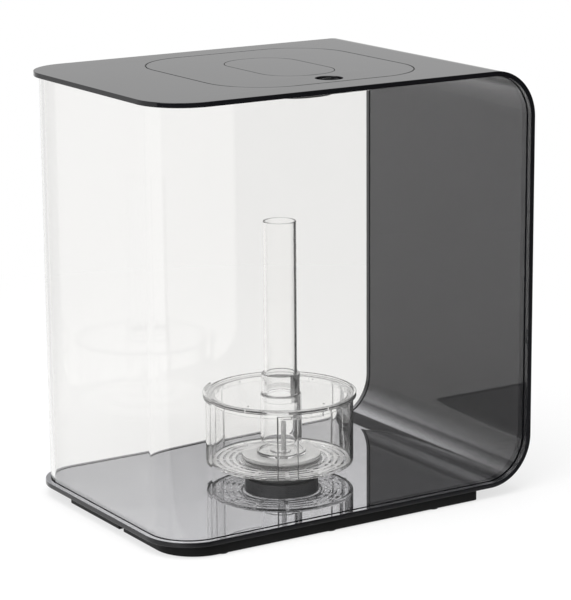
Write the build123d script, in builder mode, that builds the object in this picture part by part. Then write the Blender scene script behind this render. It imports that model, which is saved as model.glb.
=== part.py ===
from build123d import *
import math
import os

# Desktop aquarium with a bent shell, a clear wall and a bubble-driven filter.
# The origin is the bottom centre on the desk, the front is -Y, the closed side is +X.

# Shell, bent from one sheet
tank_w = 300.0
tank_d = 210.0
tank_h = 310.0
sheet_t = 3.5
bend_r = 35.0
corner_r = 35.0
edge_r = 0.4

# Clear wall, set back from the shell's edges
wall_t = 3.0
ledge = 3.8

# Base frame and its pads
base_h = 8.0
base_inset_left = 6.5
base_inset_front = 1.2
base_inset_back = 52.0
base_bend_gap = 11.4
base_corner_r = 30.0
base_end_r = 2.0
base_rail = 10.0
pad_r = 4.0
pad_t = 0.8
pad_end = 36.25
notch_y = -23.0
notch_w = 7.0
notch_h = 6.2

# Lid and the frame that it rests on
lid_x = 4.0
lid_y = 1.0
lid_w = 160.0
lid_border = 24.0
lid_r = 44.0
lid_gap = 0.6
frame_t = 3.0
frame_lip = 5.0
frame_margin = 9.0
finger_r = 9.7
finger_inset = 16.5

# Lamp in the middle of the lid
cap_w = 56.0
cap_border = 35.0
cap_r = 25.0
cap_gap = 0.3
flange_margin = 7.0
flange_t = 1.6
skirt_inset = 1.5
skirt_t = 1.6
skirt_h = 10.9
diffuser_t = 2.0
diffuser_up = 0.4
side_margin = 8.0
end_margin = 9.0
board_t = 1.2
heat_plate_t = 1.5
chip_size = 3.0
chip_t = 0.7
chip_columns = 3
chip_rows = 5
screw_r = 1.2
screw_head_r = 2.4
screw_head_t = 1.4
screw_depth = 2.0
screw_end = 5.0
socket_r = 3.6
socket_bore_r = 2.75
socket_pin_r = 0.95
socket_depth = 7.5
socket_out = 8.0

# Clearances
part_gap = 0.15
thread_gap = 0.05
hub_gap = 0.4
tube_gap = 0.1
twist_gap = 0.3

# Air port through the floor
filter_x = 2.0
hub_r = 26.6
hub_h = 13.5
hub_edge = 1.0
gasket_t = 1.0
gasket_r = 24.0
gasket_in_r = 12.0
stem_r = 6.9
stem_hole_gap = 0.3
washer_t = 0.8
washer_r = 11.0
nut_t = 2.6
nut_flats_r = 10.0
air_bore_r = 1.5
valve_r = 5.0
valve_h = 7.0
elbow_w = 8.0
elbow_floor = 1.0
elbow_back = 6.0
elbow_post = 4.0
hose_r = 2.1
hose_z = 3.9
hose_len = 12.0
hose_bore_r = 1.0
hose_tip = 0.5

# Drum that stands on the air port
drum_r = 52.3
drum_t = 2.0
drum_gap = 10.5
drum_h = 49.0
drum_edge_r = 1.5
cup_t = 2.0
rail_count = 3
rail_angle = -117.0
rail_w = 15.3
rail_t = 1.5
rail_top_gap = 1.5
slot_w = 2.0
slot_pitch = 4.6
slot_rows = 4
slot_edge = 4.0
spoke_w = 3.0
spoke_count = 12

# Seat and air stone at the drum's centre
seat_r = 18.0
seat_t = 1.5
seat_rim = 2.0
seat_rim_h = 1.0
seat_boss_r = 8.0
stone_r = 2.8
stone_h = 23.0
stone_sink = 0.8

# Cover with its collar, riser sleeve and bubble tube
cover_r = 54.6
cover_t = 2.0
cover_rim = 2.0
cover_rim_h = 3.5
plug_t = 1.5
plug_h = 3.6
lug_t = 1.2
lug_h = 1.6
lug_angle = 7.0
lug_play = 2.0
groove_extra = 0.3
twist_angle = 25.0
vent_r = 0.8
vent_circle_r = 43.0
collar_t = 1.9
collar_h = 15.0
shoulder = 1.6
spigot_h = 5.0
sleeve_r = 15.0
sleeve_t = 2.0
sleeve_h = 33.0
tube_r = 12.0
tube_t = 1.5
tube_h = 127.0

# Heights that follow from the sizes above
floor_z = base_h + sheet_t
ceiling_z = tank_h - sheet_t
hub_z = floor_z + gasket_t
hub_top_z = hub_z + hub_h
drum_z = floor_z + drum_gap
drum_top_z = drum_z + drum_h
cup_top_z = hub_top_z + cup_t
cover_top_z = drum_top_z + cover_t
flange_z = ceiling_z - flange_t
skirt_z = flange_z - skirt_h
board_z = flange_z - heat_plate_t - board_t

# Radii that follow from the sizes above
wall_r = corner_r - ledge
cup_r = hub_r + hub_gap
drum_in_r = drum_r - drum_t
plug_r = drum_in_r - twist_gap
collar_in_r = tube_r + tube_gap
spigot_r = sleeve_r - sleeve_t - thread_gap
stem_hole_r = stem_r + stem_hole_gap

# Widths and depths that follow from the sizes above, inwards from the shell's edges
base_w = tank_w - base_inset_left - bend_r - base_bend_gap
base_d = tank_d - base_inset_front - base_inset_back
lid_d = tank_d - 2 * lid_border
cap_d = lid_d - 2 * cap_border
board_w = cap_w - 2 * side_margin
board_d = cap_d - 2 * end_margin
chip_pitch_x = (board_w - 2 * side_margin) / (chip_columns - 1)
chip_pitch_y = (board_d - 2 * end_margin) / (chip_rows - 1)
screw_pitch_x = cap_w + flange_margin
screw_pitch_y = cap_d - 2 * (cap_r + screw_end)
pad_spacing = base_w / 2 - pad_end

# Places that follow from the sizes above
left_x = -tank_w / 2
right_x = tank_w / 2
base_x = left_x + base_inset_left
base_y = base_inset_front - tank_d / 2
finger_y = lid_y - lid_d / 2 + finger_inset
filter_axis = Axis((filter_x, 0, 0), (0, 0, 1))
filter_section = Plane(origin=(filter_x, 0, 0), x_dir=(1, 0, 0), z_dir=(0, -1, 0))


def filter_plane(height):
    """Level plane with its origin on the filter's axis."""
    return Plane(origin=(filter_x, 0, height))


def lid_plane(height):
    """Level plane with its origin at the lid's centre."""
    return Plane(origin=(lid_x, lid_y, height))


def bent_section(left, inset):
    """Upright section of the tank, square on the left and bent on the right."""
    with BuildSketch(Plane.XZ) as section:
        with BuildLine():
            Polyline(
                (left, base_h + inset),
                (right_x - inset, base_h + inset),
                (right_x - inset, tank_h - inset),
                (left, tank_h - inset),
                close=True,
            )
        make_face()
        fillet(vertices().group_by(Axis.X)[-1], bend_r - inset)
    return section.sketch


def corner_plan(left, right, half_depth, radius, height):
    """Level outline with its two left corners rounded."""
    with BuildSketch(Plane.XY.offset(height)) as plan:
        with BuildLine():
            Polyline(
                (left, -half_depth),
                (right, -half_depth),
                (right, half_depth),
                (left, half_depth),
                close=True,
            )
        make_face()
        fillet(vertices().group_by(Axis.X)[0], radius)
    return plan.sketch


def base_plan(inset):
    """Level outline of the base frame, shrunk all round, with its front left corner rounded."""
    with BuildSketch(Plane.XY.offset(pad_t)) as plan:
        with Locations((base_x + inset, base_y + inset)):
            Rectangle(base_w - 2 * inset, base_d - 2 * inset, align=(Align.MIN, Align.MIN))
        fillet(vertices().sort_by_distance((base_x, base_y, pad_t))[0], base_corner_r - inset)
    return plan.sketch


def lid_outline(grow, height):
    """Outline of the lid, grown or shrunk all round."""
    with BuildSketch(lid_plane(height)) as outline:
        RectangleRounded(lid_w + 2 * grow, lid_d + 2 * grow, lid_r + grow)
    return outline.sketch


def cap_outline(grow, height):
    """Outline of the lamp's cap, grown or shrunk all round."""
    with BuildSketch(lid_plane(height)) as outline:
        RectangleRounded(cap_w + 2 * grow, cap_d + 2 * grow, cap_r + grow)
    return outline.sketch


def revolved(points):
    """Closed section of radius and height pairs, to be turned about the filter's axis."""
    with BuildSketch(filter_section) as section:
        with BuildLine():
            Polyline(*points, close=True)
        make_face()
    return section.sketch


def sectors(inner, outer, start, span, height):
    """One sector of a ring at each of the drum's rails."""
    with BuildSketch(filter_plane(height)) as rows:
        for k in range(rail_count):
            first = start + rail_angle + k * 360 / rail_count
            with BuildLine():
                far = CenterArc((0, 0), outer, first, span)
                near = CenterArc((0, 0), inner, first, span)
                Line(far @ 0, near @ 0)
                Line(far @ 1, near @ 1)
            make_face()
    return rows.sketch


# Black shell, one sheet bent round the top, the closed side and the bottom
with BuildPart() as wrap_shell:
    extrude(bent_section(left_x, 0), amount=tank_d / 2, both=True)
    extrude(bent_section(left_x, sheet_t), amount=tank_d / 2, both=True, mode=Mode.SUBTRACT)
    fillet(edges().filter_by(Axis.Z).group_by(Axis.X)[0], corner_r)
    rounded = [e for e in edges() if e.length > sheet_t + edge_r and abs(e.length - tank_d) > edge_r]
    fillet(rounded, edge_r)
    extrude(lid_outline(lid_gap, ceiling_z), amount=sheet_t, mode=Mode.SUBTRACT)
    with BuildSketch(filter_plane(base_h)):
        Circle(stem_hole_r)
    extrude(amount=sheet_t, mode=Mode.SUBTRACT)
wrap_shell.part.label = "wrap_shell"

# Clear wall, one sheet bent round the front, the open side and the back
with BuildPart() as tank_wall:
    extrude(bent_section(left_x + ledge, sheet_t), amount=tank_d / 2 - ledge, both=True)
    fillet(edges().filter_by(Axis.Z).group_by(Axis.X)[0], wall_r)
    inner_plan = corner_plan(
        left_x + ledge + wall_t,
        right_x,
        tank_d / 2 - ledge - wall_t,
        wall_r - wall_t,
        floor_z,
    )
    extrude(inner_plan, amount=ceiling_z - floor_z, mode=Mode.SUBTRACT)
tank_wall.part.label = "tank_wall"

# Ring bonded under the top panel, whose inner lip carries the lid
with BuildPart() as lid_frame:
    extrude(lid_outline(frame_margin, ceiling_z - frame_t), amount=frame_t)
    extrude(lid_outline(-frame_lip, ceiling_z - frame_t), amount=frame_t, mode=Mode.SUBTRACT)
lid_frame.part.label = "lid_frame"

# Base frame bonded under the shell, with a notch for the air line
with BuildPart() as base_frame:
    extrude(base_plan(0), amount=base_h - pad_t)
    sharp = edges().filter_by(Axis.Z).sort_by_distance((base_x, base_y, pad_t))[-3:]
    fillet(sharp, base_end_r)
    extrude(base_plan(base_rail), amount=base_h - pad_t, mode=Mode.SUBTRACT)
    with Locations((base_x + base_rail / 2, notch_y, pad_t)):
        Box(
            2 * base_rail,
            notch_w,
            notch_h,
            align=(Align.CENTER, Align.CENTER, Align.MIN),
            mode=Mode.SUBTRACT,
        )
base_frame.part.label = "base_frame"

# Rubber pads in two rows under the base frame
with BuildPart() as foot_pads:
    with BuildSketch(Plane.XY):
        with Locations((base_x + base_w / 2, base_y + base_d / 2)):
            with GridLocations(pad_spacing, base_d - base_rail, 3, 2):
                Circle(pad_r)
    extrude(amount=pad_t)
foot_pads.part.label = "foot_pads"

# Gasket between the air port and the tank floor
with BuildPart() as port_gasket:
    with BuildSketch(filter_plane(floor_z)):
        Circle(gasket_r)
        Circle(gasket_in_r, mode=Mode.SUBTRACT)
    extrude(amount=gasket_t)
port_gasket.part.label = "port_gasket"

# Air port, a low drum with a threaded stem through the floor and a valve pocket
stem_end_z = base_h - washer_t - nut_t
valve_z = hub_top_z - valve_h
with BuildPart() as air_port:
    hub_points = [
        (air_bore_r, stem_end_z),
        (stem_r, stem_end_z),
        (stem_r, hub_z),
        (hub_r, hub_z),
        (hub_r, hub_top_z),
        (valve_r, hub_top_z),
        (valve_r, valve_z),
        (air_bore_r, valve_z),
    ]
    revolve(revolved(hub_points), axis=filter_axis)
    fillet(edges().filter_by(GeomType.CIRCLE).group_by(Axis.Z)[-1].sort_by(SortBy.RADIUS)[-1], hub_edge)
air_port.part.label = "air_port"

# Rubber valve in the port's pocket, which lets air up and holds water back
with BuildPart() as check_valve:
    lip_r = valve_r / 2
    valve_points = [
        (hose_bore_r, valve_z),
        (valve_r - part_gap, valve_z),
        (valve_r - part_gap, valve_z + valve_h / 3),
        (lip_r, valve_z + valve_h / 3),
        (hose_bore_r + part_gap, hub_top_z - part_gap),
        (part_gap, hub_top_z - part_gap),
        (hose_bore_r, valve_z + valve_h / 3),
    ]
    revolve(revolved(valve_points), axis=filter_axis)
check_valve.part.label = "check_valve"

# Washer and nut that clamp the air port to the floor
with BuildPart() as port_washer:
    with BuildSketch(filter_plane(base_h - washer_t)):
        Circle(washer_r)
        Circle(stem_r + thread_gap, mode=Mode.SUBTRACT)
    extrude(amount=washer_t)
port_washer.part.label = "port_washer"

with BuildPart() as port_nut:
    with BuildSketch(filter_plane(stem_end_z)):
        RegularPolygon(nut_flats_r, 6, major_radius=False)
        Circle(stem_r + thread_gap, mode=Mode.SUBTRACT)
    extrude(amount=nut_t)
    chamfer(edges().group_by(Axis.Z)[0].filter_by(GeomType.LINE), edge_r)
port_nut.part.label = "port_nut"

# Elbow under the stem, whose spigot for the air line points at the notch
elbow_end = nut_flats_r / math.cos(math.pi / 6) + elbow_post
elbow_h = stem_end_z - elbow_floor
elbow_turn = math.degrees(math.atan2(-notch_y, filter_x - base_x - base_rail / 2))
post_top = hose_z + hose_r
with BuildPart() as air_elbow:
    with BuildSketch(filter_plane(elbow_floor)):
        with Locations(((elbow_back - elbow_end) / 2, 0)):
            RectangleRounded(elbow_end + elbow_back, elbow_w, elbow_w / 4)
    extrude(amount=elbow_h)
    with BuildSketch(filter_plane(elbow_floor)):
        with Locations((-elbow_end + elbow_post / 2 - part_gap, 0)):
            Rectangle(elbow_post - 2 * part_gap, elbow_w / 2)
    extrude(amount=post_top - elbow_floor)
    spigot_plane = Plane(origin=(filter_x - elbow_end + elbow_post / 2, 0, hose_z), z_dir=(-1, 0, 0))
    with BuildSketch(spigot_plane):
        Circle(hose_r)
    extrude(amount=elbow_post / 2 + hose_len)
    chamfer(edges().group_by(Axis.X)[0], hose_tip)
    with BuildSketch(spigot_plane):
        Circle(hose_bore_r)
    extrude(amount=elbow_post / 2 + hose_len, mode=Mode.SUBTRACT)
    channel_z = elbow_floor + elbow_h / 2
    with BuildSketch(Plane(origin=(filter_x, 0, channel_z), z_dir=(-1, 0, 0))):
        Circle(hose_bore_r)
    extrude(amount=elbow_end - elbow_post / 2, mode=Mode.SUBTRACT)
    with BuildSketch(filter_plane(channel_z)):
        Circle(hose_bore_r)
    extrude(amount=elbow_h, mode=Mode.SUBTRACT)
    with BuildSketch(Plane(origin=(filter_x - elbow_end + elbow_post / 2, 0, channel_z))):
        Circle(hose_bore_r)
    extrude(amount=hose_z - channel_z, mode=Mode.SUBTRACT)
air_elbow.part = air_elbow.part.rotate(filter_axis, elbow_turn)
air_elbow.part.label = "air_elbow"

# Clear drum, whose raised middle fits over the air port
with BuildPart() as filter_drum:
    drum_points = [
        (air_bore_r, hub_top_z),
        (cup_r, hub_top_z),
        (cup_r, drum_z),
        (drum_r, drum_z),
        (drum_r, drum_top_z),
        (drum_in_r, drum_top_z),
        (drum_in_r, drum_z + drum_t),
        (cup_r + cup_t, drum_z + drum_t),
        (cup_r + cup_t, cup_top_z),
        (air_bore_r, cup_top_z),
    ]
    revolve(revolved(drum_points), axis=filter_axis)
    bottom_rings = edges().filter_by(GeomType.CIRCLE).group_by(Axis.Z)[0]
    fillet(bottom_rings.sort_by(SortBy.RADIUS)[-1], drum_edge_r)
    with BuildSketch(filter_plane(drum_z + drum_edge_r)):
        with PolarLocations(drum_r, rail_count, start_angle=rail_angle):
            Rectangle(2 * rail_t, rail_w)
        Circle(drum_r - drum_t / 2, mode=Mode.SUBTRACT)
    extrude(amount=drum_h - drum_edge_r - rail_top_gap)
    with BuildSketch(filter_plane(drum_z)):
        for row in range(slot_rows):
            slot_r = drum_in_r - slot_edge - row * slot_pitch
            Circle(slot_r + slot_w / 2)
            Circle(slot_r - slot_w / 2, mode=Mode.SUBTRACT)
        with PolarLocations(drum_r / 2, spoke_count, start_angle=rail_angle):
            Rectangle(drum_r, spoke_w, mode=Mode.SUBTRACT)
    extrude(amount=drum_t, mode=Mode.SUBTRACT)
    groove_r = drum_in_r + lug_t - twist_gap + groove_extra
    groove_z = drum_top_z - plug_h - groove_extra
    groove_h = lug_h + 2 * groove_extra
    groove_start = -lug_angle / 2 - lug_play
    entry_angle = lug_angle + 2 * lug_play
    groove_in_r = drum_in_r - drum_t / 2
    extrude(
        sectors(groove_in_r, groove_r, groove_start, entry_angle + twist_angle, groove_z),
        amount=groove_h,
        mode=Mode.SUBTRACT,
    )
    extrude(
        sectors(groove_in_r, groove_r, groove_start + twist_angle, entry_angle, groove_z),
        amount=drum_top_z - groove_z,
        mode=Mode.SUBTRACT,
    )
filter_drum.part.label = "filter_drum"

# Clear seat on the drum's raised middle, with a socket for the air stone
with BuildPart() as stone_seat:
    seat_top = cup_top_z + seat_t
    seat_points = [
        (air_bore_r, cup_top_z),
        (seat_r, cup_top_z),
        (seat_r, seat_top + seat_rim_h),
        (seat_r - seat_rim, seat_top + seat_rim_h),
        (seat_r - seat_rim, seat_top),
        (seat_boss_r, seat_top),
        (seat_boss_r, seat_top + seat_rim_h),
        (stone_r + part_gap, seat_top + seat_rim_h),
        (stone_r + part_gap, seat_top - stone_sink),
        (air_bore_r, seat_top - stone_sink),
    ]
    revolve(revolved(seat_points), axis=filter_axis)
stone_seat.part.label = "stone_seat"

# Slim ceramic air stone under the bubble tube
with BuildPart() as air_stone:
    with BuildSketch(filter_plane(seat_top - stone_sink)):
        Circle(stone_r)
    extrude(amount=stone_h)
    chamfer(edges().group_by(Axis.Z)[-1], stone_r / 5)
air_stone.part.label = "air_stone"

# Clear cover with a raised rim, a collar for the tube and three bayonet lugs
with BuildPart() as filter_cover:
    tube_in_r = tube_r - shoulder
    cover_points = [
        (tube_in_r, drum_top_z - spigot_h),
        (spigot_r, drum_top_z - spigot_h),
        (spigot_r, drum_top_z),
        (plug_r - plug_t, drum_top_z),
        (plug_r - plug_t, drum_top_z - plug_h),
        (plug_r, drum_top_z - plug_h),
        (plug_r, drum_top_z),
        (cover_r, drum_top_z),
        (cover_r, drum_top_z + cover_rim_h),
        (cover_r - cover_rim, drum_top_z + cover_rim_h),
        (cover_r - cover_rim, cover_top_z),
        (collar_in_r + collar_t, cover_top_z),
        (collar_in_r + collar_t, cover_top_z + collar_h),
        (collar_in_r, cover_top_z + collar_h),
        (collar_in_r, cover_top_z),
        (tube_in_r, cover_top_z),
    ]
    revolve(revolved(cover_points), axis=filter_axis)
    rim_rings = edges().filter_by(GeomType.CIRCLE).filter_by(lambda e: e.radius > cover_r - cover_rim / 2)
    fillet(rim_rings, cover_rim / 2.5)
    extrude(
        sectors(plug_r - plug_t / 2, plug_r + lug_t, -lug_angle / 2, lug_angle, drum_top_z - plug_h),
        amount=lug_h,
    )
    with BuildSketch(filter_plane(drum_top_z)):
        with PolarLocations(vent_circle_r, 2, start_angle=25):
            Circle(vent_r)
        with PolarLocations(vent_circle_r, 2, start_angle=103):
            Circle(vent_r)
    extrude(amount=cover_t, mode=Mode.SUBTRACT)
filter_cover.part.label = "filter_cover"

# Sleeve that hangs from the cover and gathers the bubbles above the stone
with BuildPart() as riser_sleeve:
    with BuildSketch(filter_plane(drum_top_z - sleeve_h)):
        Circle(sleeve_r)
        Circle(sleeve_r - sleeve_t, mode=Mode.SUBTRACT)
    extrude(amount=sleeve_h)
riser_sleeve.part.label = "riser_sleeve"

# Bubble tube that stands in the collar
with BuildPart() as bubble_tube:
    with BuildSketch(filter_plane(cover_top_z)):
        Circle(tube_r)
        Circle(tube_r - tube_t, mode=Mode.SUBTRACT)
    extrude(amount=tube_h)
bubble_tube.part.label = "bubble_tube"

# Lid, flush in the top panel, with a finger hole and a window for the lamp's cap
with BuildPart() as lid_panel:
    extrude(lid_outline(0, ceiling_z), amount=sheet_t)
    fillet(edges().group_by(Axis.Z)[-1], edge_r)
    extrude(cap_outline(cap_gap, ceiling_z), amount=sheet_t, mode=Mode.SUBTRACT)
    with BuildSketch(Plane(origin=(lid_x, finger_y, ceiling_z))):
        Circle(finger_r)
    extrude(amount=sheet_t, mode=Mode.SUBTRACT)
    with BuildSketch(lid_plane(ceiling_z)):
        with GridLocations(screw_pitch_x, screw_pitch_y, 2, 2):
            Circle(screw_r + thread_gap)
    extrude(amount=screw_depth + thread_gap, mode=Mode.SUBTRACT)
lid_panel.part.label = "lid_panel"

# Cap that closes the lamp's window, level with the lid
with BuildPart() as lamp_cap:
    extrude(cap_outline(0, ceiling_z), amount=sheet_t)
    fillet(edges().group_by(Axis.Z)[-1], edge_r)
lamp_cap.part.label = "lamp_cap"

# Lamp housing, a flange under the lid and a skirt open at the bottom
socket_z = flange_z - skirt_h / 2
skirt_back_y = cap_d / 2 - skirt_inset
with BuildPart() as lamp_housing:
    extrude(cap_outline(flange_margin, flange_z), amount=flange_t)
    extrude(cap_outline(-skirt_inset, skirt_z), amount=skirt_h)
    extrude(cap_outline(-skirt_inset - skirt_t, skirt_z), amount=skirt_h, mode=Mode.SUBTRACT)
    with BuildSketch(lid_plane(flange_z)):
        with GridLocations(screw_pitch_x, screw_pitch_y, 2, 2):
            Circle(screw_r + part_gap)
    extrude(amount=flange_t, mode=Mode.SUBTRACT)
    socket_start_y = lid_y + skirt_back_y - 2 * skirt_t
    with BuildSketch(Plane(origin=(lid_x, socket_start_y, socket_z), z_dir=(0, 1, 0))):
        Circle(socket_r + thread_gap)
    extrude(amount=4 * skirt_t, mode=Mode.SUBTRACT)
lamp_housing.part.label = "lamp_housing"

# Screws that hold the housing up to the lid
with BuildPart() as lamp_screws:
    with BuildSketch(lid_plane(flange_z)):
        with GridLocations(screw_pitch_x, screw_pitch_y, 2, 2):
            Circle(screw_r)
    extrude(amount=flange_t + screw_depth)
    with BuildSketch(lid_plane(flange_z - screw_head_t)):
        with GridLocations(screw_pitch_x, screw_pitch_y, 2, 2):
            Circle(screw_head_r)
    extrude(amount=screw_head_t)
    with BuildSketch(lid_plane(flange_z - screw_head_t)):
        with GridLocations(screw_pitch_x, screw_pitch_y, 2, 2):
            Rectangle(screw_head_r, screw_head_t / 3)
            Rectangle(screw_head_t / 3, screw_head_r)
    extrude(amount=screw_head_t / 2, mode=Mode.SUBTRACT)
lamp_screws.part.label = "lamp_screws"

# Aluminium plate, light board and chips inside the housing
with BuildPart() as heat_plate:
    with BuildSketch(lid_plane(flange_z - heat_plate_t)):
        RectangleRounded(board_w, board_d, board_w / 4)
    extrude(amount=heat_plate_t)
heat_plate.part.label = "heat_plate"

with BuildPart() as light_board:
    with BuildSketch(lid_plane(board_z)):
        RectangleRounded(board_w, board_d, board_w / 4)
    extrude(amount=board_t)
light_board.part.label = "light_board"

with BuildPart() as light_chips:
    with BuildSketch(lid_plane(board_z - chip_t)):
        with GridLocations(chip_pitch_x, chip_pitch_y, chip_columns, chip_rows):
            Rectangle(chip_size, chip_size)
    extrude(amount=chip_t)
light_chips.part.label = "light_chips"

# Frosted diffuser that closes the bottom of the housing
with BuildPart() as lamp_diffuser:
    extrude(cap_outline(-skirt_inset - skirt_t - part_gap, skirt_z + diffuser_up), amount=diffuser_t)
lamp_diffuser.part.label = "lamp_diffuser"

# Power socket in the back of the housing
with BuildPart() as power_socket:
    mouth_y = lid_y + skirt_back_y + socket_out
    mouth = Plane(origin=(lid_x, mouth_y, socket_z), z_dir=(0, -1, 0))
    with BuildSketch(mouth):
        Circle(socket_r)
    extrude(amount=socket_out + skirt_t)
    with BuildSketch(mouth):
        Circle(socket_bore_r)
        Circle(socket_pin_r, mode=Mode.SUBTRACT)
    extrude(amount=socket_depth, mode=Mode.SUBTRACT)
power_socket.part.label = "power_socket"

pieces = [
    wrap_shell,
    tank_wall,
    lid_frame,
    base_frame,
    foot_pads,
    port_gasket,
    air_port,
    check_valve,
    port_washer,
    port_nut,
    air_elbow,
    filter_drum,
    stone_seat,
    air_stone,
    filter_cover,
    riser_sleeve,
    bubble_tube,
    lid_panel,
    lamp_cap,
    lamp_housing,
    lamp_screws,
    heat_plate,
    light_board,
    light_chips,
    lamp_diffuser,
    power_socket,
]
os.makedirs("parts", exist_ok=True)
for piece in pieces:
    export_step(piece.part, f"parts/{piece.part.label}.step")
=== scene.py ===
import math
import bmesh
import bpy
from mathutils import Matrix, Vector


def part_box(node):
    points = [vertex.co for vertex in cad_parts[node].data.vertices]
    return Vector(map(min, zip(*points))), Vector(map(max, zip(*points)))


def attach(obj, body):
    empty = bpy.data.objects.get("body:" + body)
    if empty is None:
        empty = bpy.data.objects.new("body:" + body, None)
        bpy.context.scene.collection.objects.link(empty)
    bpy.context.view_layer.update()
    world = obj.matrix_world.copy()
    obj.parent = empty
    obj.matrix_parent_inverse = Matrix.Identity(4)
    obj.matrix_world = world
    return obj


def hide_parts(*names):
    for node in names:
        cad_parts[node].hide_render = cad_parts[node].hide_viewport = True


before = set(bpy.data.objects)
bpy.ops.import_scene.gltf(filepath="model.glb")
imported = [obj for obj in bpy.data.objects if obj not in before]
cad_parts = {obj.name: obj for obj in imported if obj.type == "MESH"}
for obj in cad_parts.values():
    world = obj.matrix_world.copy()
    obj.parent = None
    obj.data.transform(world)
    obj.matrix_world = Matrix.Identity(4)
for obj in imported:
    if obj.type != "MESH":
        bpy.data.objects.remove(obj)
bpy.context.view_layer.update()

# Sizes in metres
mm = 0.001
bend_r = 35 * mm
corner_r = 35 * mm
wall_corner_r = 31.2 * mm
wall_t = 3 * mm
lid_r = 44 * mm
cap_r = 25 * mm
lid_gap = 0.8 * mm
cap_gap = 0.4 * mm
finger_r = 9.7 * mm
finger_inset = 16.5 * mm
stem_hole_r = 7.2 * mm
edge_r = 0.4 * mm
bond = 0.1 * mm
bond_h = 0.15 * mm
seat_gap = 0.05 * mm
bend_steps = 30
arc_steps = 24
ring_steps = 192
acrylic_ior = 1.49

# Boxes of the pieces that the drawn ones follow
shell_low, shell_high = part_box("wrap_shell")
wall_low, wall_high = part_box("tank_wall")
lid_low, lid_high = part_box("lid_panel")
cap_low, cap_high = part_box("lamp_cap")
base_low, base_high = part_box("base_frame")
port_low, port_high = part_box("air_port")
drum_low, drum_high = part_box("filter_drum")
cover_low, cover_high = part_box("filter_cover")
sleeve_low, sleeve_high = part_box("riser_sleeve")
tube_low, tube_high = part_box("bubble_tube")
seat_low, seat_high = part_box("stone_seat")
stone_low, stone_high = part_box("air_stone")
sheet_t = lid_high.z - lid_low.z
lid_x = (lid_low.x + lid_high.x) / 2
filter_x = (tube_low.x + tube_high.x) / 2
filter_y = (tube_low.y + tube_high.y) / 2

# Lengths of the flat sheets before they are bent: up to a bend, round it, and between the two bends
shell_flat = shell_high.x - shell_low.x - bend_r
shell_quarter = bend_r * math.pi / 2
shell_upright = shell_high.z - shell_low.z - 2 * bend_r
wall_front = wall_high.x + bond - wall_low.x - wall_corner_r
wall_quarter = wall_corner_r * math.pi / 2
wall_side = wall_high.y - wall_low.y - 2 * wall_corner_r


# Outlines

def arc(x, y, radius, first, last, steps):
    """Points on an arc, with both ends, angles in degrees."""
    points = []
    for k in range(steps + 1):
        a = math.radians(first + (last - first) * k / steps)
        points.append((x + radius * math.cos(a), y + radius * math.sin(a)))
    return points


def rounded_box(x0, x1, y0, y1, radii):
    """Outline of a rectangle, radii for its corners left-low, right-low, right-high and left-high."""
    ll, rl, rh, lh = radii
    points = []
    for x, y, r, first in (
        (x0 + ll, y0 + ll, ll, 180),
        (x1 - rl, y0 + rl, rl, 270),
        (x1 - rh, y1 - rh, rh, 0),
        (x0 + lh, y1 - lh, lh, 90),
    ):
        points += arc(x, y, r, first, first + 90, arc_steps) if r else [(x, y)]
    return points


def softened(points, radii, steps=5):
    """A closed outline with each corner rounded by its own radius."""
    out = []
    count = len(points)
    for k in range(count):
        here = Vector(points[k])
        before = Vector(points[k - 1]) - here
        after = Vector(points[(k + 1) % count]) - here
        radius = radii[k]
        if radius <= 0:
            out.append(tuple(here))
            continue
        half = before.angle(after) / 2
        reach = radius / math.tan(half)
        start = here + before.normalized() * reach
        end = here + after.normalized() * reach
        centre = here + (before.normalized() + after.normalized()).normalized() * radius / math.sin(half)
        for j in range(steps + 1):
            spoke = (start - centre).lerp(end - centre, j / steps).normalized()
            out.append(tuple(centre + spoke * radius))
    return out


# Meshes

def as_object(name, mesh):
    """A new object in the scene that holds the mesh."""
    obj = bpy.data.objects.new(name, mesh)
    bpy.context.scene.collection.objects.link(obj)
    return obj


def from_bmesh(name, bm):
    """A smooth object from a bmesh, with its normals outwards."""
    bmesh.ops.recalc_face_normals(bm, faces=bm.faces[:])
    mesh = bpy.data.meshes.new(name)
    bm.to_mesh(mesh)
    bm.free()
    mesh.shade_smooth()
    return as_object(name, mesh)


def plate(name, outlines, thickness, edge):
    """A flat plate centred on z = 0, its first outline cut by the others, with rounded edges."""
    curve = bpy.data.curves.new(name, "CURVE")
    curve.dimensions = "2D"
    curve.fill_mode = "BOTH"
    curve.extrude = thickness / 2 - edge
    curve.bevel_depth = edge
    curve.bevel_resolution = 2
    curve.offset = -edge
    for outline in outlines:
        spline = curve.splines.new("POLY")
        spline.points.add(len(outline) - 1)
        for point, (x, y) in zip(spline.points, outline):
            point.co = (x, y, 0, 1)
        spline.use_cyclic_u = True
    source = as_object(name + "_outline", curve)
    bpy.context.view_layer.update()
    solid = bpy.data.meshes.new_from_object(source.evaluated_get(bpy.context.evaluated_depsgraph_get()))
    bpy.data.objects.remove(source)
    bpy.data.curves.remove(curve)
    bm = bmesh.new()
    bm.from_mesh(solid)
    bpy.data.meshes.remove(solid)
    bmesh.ops.remove_doubles(bm, verts=bm.verts[:], dist=1e-7)
    return bm


def slice_across(bm, starts, quarter):
    """Cuts the plate across all along its bends, whose starts are given, so that it can bend there."""
    places = []
    for start in starts:
        places += [start + quarter * k / bend_steps for k in range(bend_steps + 1)]
    for x in places:
        bmesh.ops.bisect_plane(
            bm,
            geom=bm.verts[:] + bm.edges[:] + bm.faces[:],
            dist=1e-8,
            plane_co=(x, 0, 0),
            plane_no=(1, 0, 0),
        )


def even_normals(obj):
    """Lets the large faces set the normals, so that flat stretches stay flat up to their rounded edges."""
    weigh = obj.modifiers.new("even", "WEIGHTED_NORMAL")
    weigh.mode = "FACE_AREA"
    weigh.weight = 100
    weigh.keep_sharp = True
    apply_modifiers(obj)


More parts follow.
